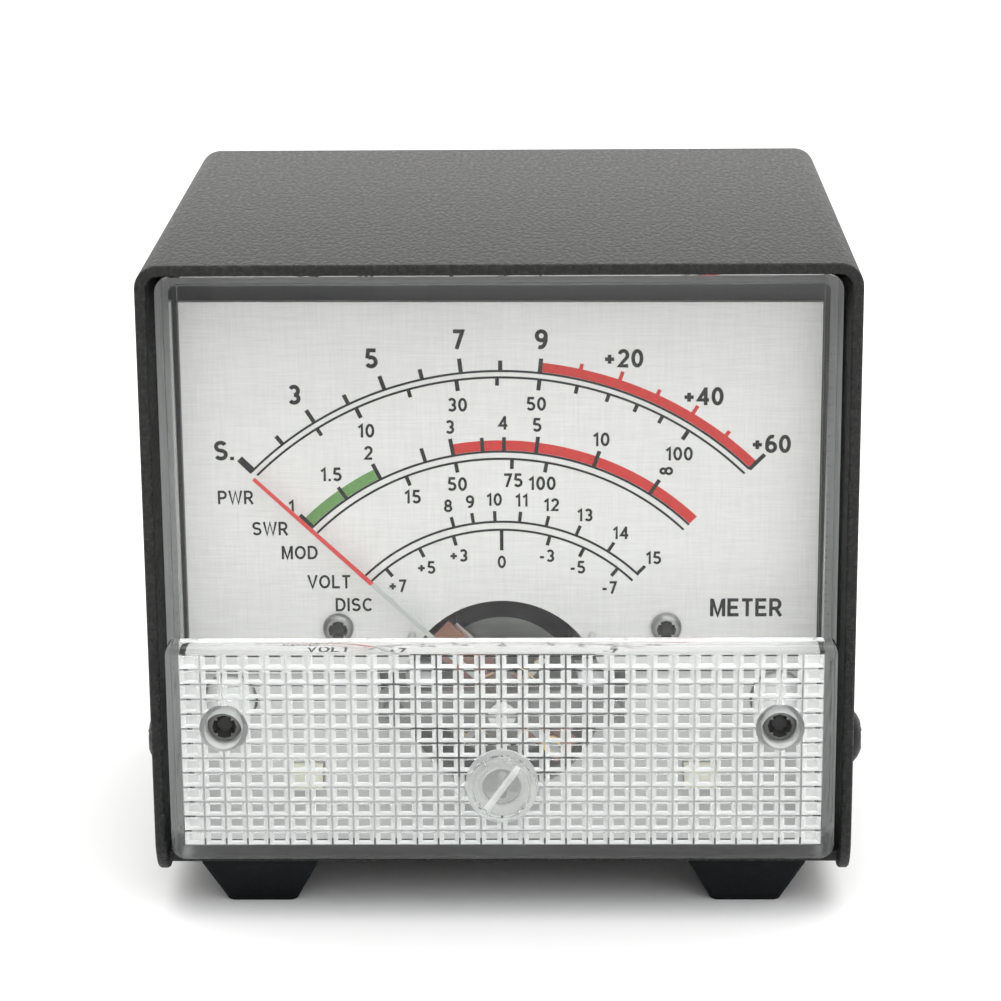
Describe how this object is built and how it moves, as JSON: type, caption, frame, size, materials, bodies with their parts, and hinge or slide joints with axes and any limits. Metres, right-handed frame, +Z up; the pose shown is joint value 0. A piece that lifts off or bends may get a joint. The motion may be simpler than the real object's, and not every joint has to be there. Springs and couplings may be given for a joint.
{
  "type": "desk-top moving-coil meter",
  "caption": "Desk-top moving-coil meter: folded sheet-metal housing, clear front with ridged lower section, printed dial, sprung pointer, zero adjuster, rear sockets and rubber feet.",
  "frame": {"origin": "centre of the footprint on the surface that the rubber feet stand on", "axes": "+Z up, the dial faces -Y, the sockets face +Y, +X to the right of someone reading the dial"},
  "size_m": [0.0804, 0.0738, 0.0722],
  "materials": {
    "black_powder_coat": "matte",
    "black_screw": "satin",
    "black_rubber": "matte",
    "clear_plastic": "gloss",
    "black_moulding": "satin",
    "white_moulding": "satin",
    "zinc_sheet": "satin",
    "plated_steel": "satin",
    "brass": "satin",
    "printed_dial": "satin",
    "pointer_metal": "satin",
    "bare_aluminium": "satin",
    "soft_iron": "satin",
    "magnet_alloy": "satin",
    "copper_wire": "gloss",
    "spring_bronze": "satin",
    "lamp_lens": "gloss",
    "board_green": "gloss",
    "trimmer_blue": "gloss",
    "resistor_tan": "gloss",
    "capacitor_sleeve": "gloss",
    "red_lead": "satin",
    "blue_lead": "satin"
  },
  "bodies": {
    "housing": {"case_cover": "black_powder_coat", "case_chassis": "black_powder_coat", "side_screws": "black_screw", "rubber_feet": "black_rubber", "meter_cover": "clear_plastic", "cover_screws": "plated_steel", "signal_jack": "black_moulding", "signal_jack_nut": "plated_steel", "power_jack": "black_moulding", "meter_panel": "zinc_sheet", "bracket_screws": "plated_steel", "meter_base": "black_moulding", "mounting_studs": "brass", "mounting_washers": "plated_steel", "mounting_nuts": "plated_steel", "dial_plate": "printed_dial", "dial_screws": "plated_steel", "dial_pillars": "brass", "pointer_stops": "white_moulding", "diffuser_panel": "white_moulding", "lamp_boards": "white_moulding", "lamps": "lamp_lens", "yoke_ring": "soft_iron", "yoke_screws": "plated_steel", "core_magnet": "magnet_alloy", "core_spacers": "bare_aluminium", "front_pillars": "plated_steel", "front_bridge": "plated_steel", "front_bridge_screws": "plated_steel", "rear_pillars": "brass", "rear_bridge": "plated_steel", "rear_bridge_screws": "plated_steel", "front_jewel_screw": "plated_steel", "rear_jewel_screw": "plated_steel", "jewel_lock_nuts": "plated_steel", "terminal_studs": "brass", "terminal_nuts": "plated_steel", "terminal_washers": "plated_steel", "circuit_board": "board_green", "trimmer_body": "trimmer_blue", "resistors": "resistor_tan", "capacitor": "capacitor_sleeve", "power_jack_nut": "plated_steel", "signal_leads": "red_lead", "lamp_leads": "blue_lead"},
    "movement": {"pointer": "pointer_metal", "balance_weights": "brass", "coil_former": "bare_aluminium", "coil_winding": "copper_wire", "front_staff": "plated_steel", "rear_staff": "plated_steel", "front_hairspring": "spring_bronze", "rear_hairspring": "spring_bronze"},
    "zero_adjuster": {"zero_adjuster": "clear_plastic"},
    "zero_lever": {"zero_lever": "plated_steel"},
    "trimmer_rotor": {"trimmer_rotor": "white_moulding"}
  },
  "joints": [
    {"name": "needle_swing", "type": "hinge", "parent": "housing", "child": "movement", "pos_m": [0, -0.0172, 0.0223], "axis": [0, 1, 0], "range_deg": [-4.5, 97.5], "stiffness_Nm_per_rad": 0.00002, "deforming": ["front_hairspring", "rear_hairspring"]},
    {"name": "zero_turn", "type": "hinge", "parent": "housing", "child": "zero_adjuster", "pos_m": [0, -0.0347, 0.0156], "axis": [0, 1, 0], "range_deg": [-40, 40]},
    {"name": "lever_swing", "type": "hinge", "parent": "housing", "child": "zero_lever", "pos_m": [0, -0.02975, 0.0223], "axis": [0, 1, 0], "range_deg": [-6, 6]},
    {"name": "trimmer_turn", "type": "hinge", "parent": "housing", "child": "trimmer_rotor", "pos_m": [0, 0.0071, 0.04], "axis": [0, 1, 0], "range_deg": [-120, 120]}
  ],
  "couplings": [
    {"joint": "lever_swing", "follows": "zero_turn", "ratio": 0.146}
  ]
}
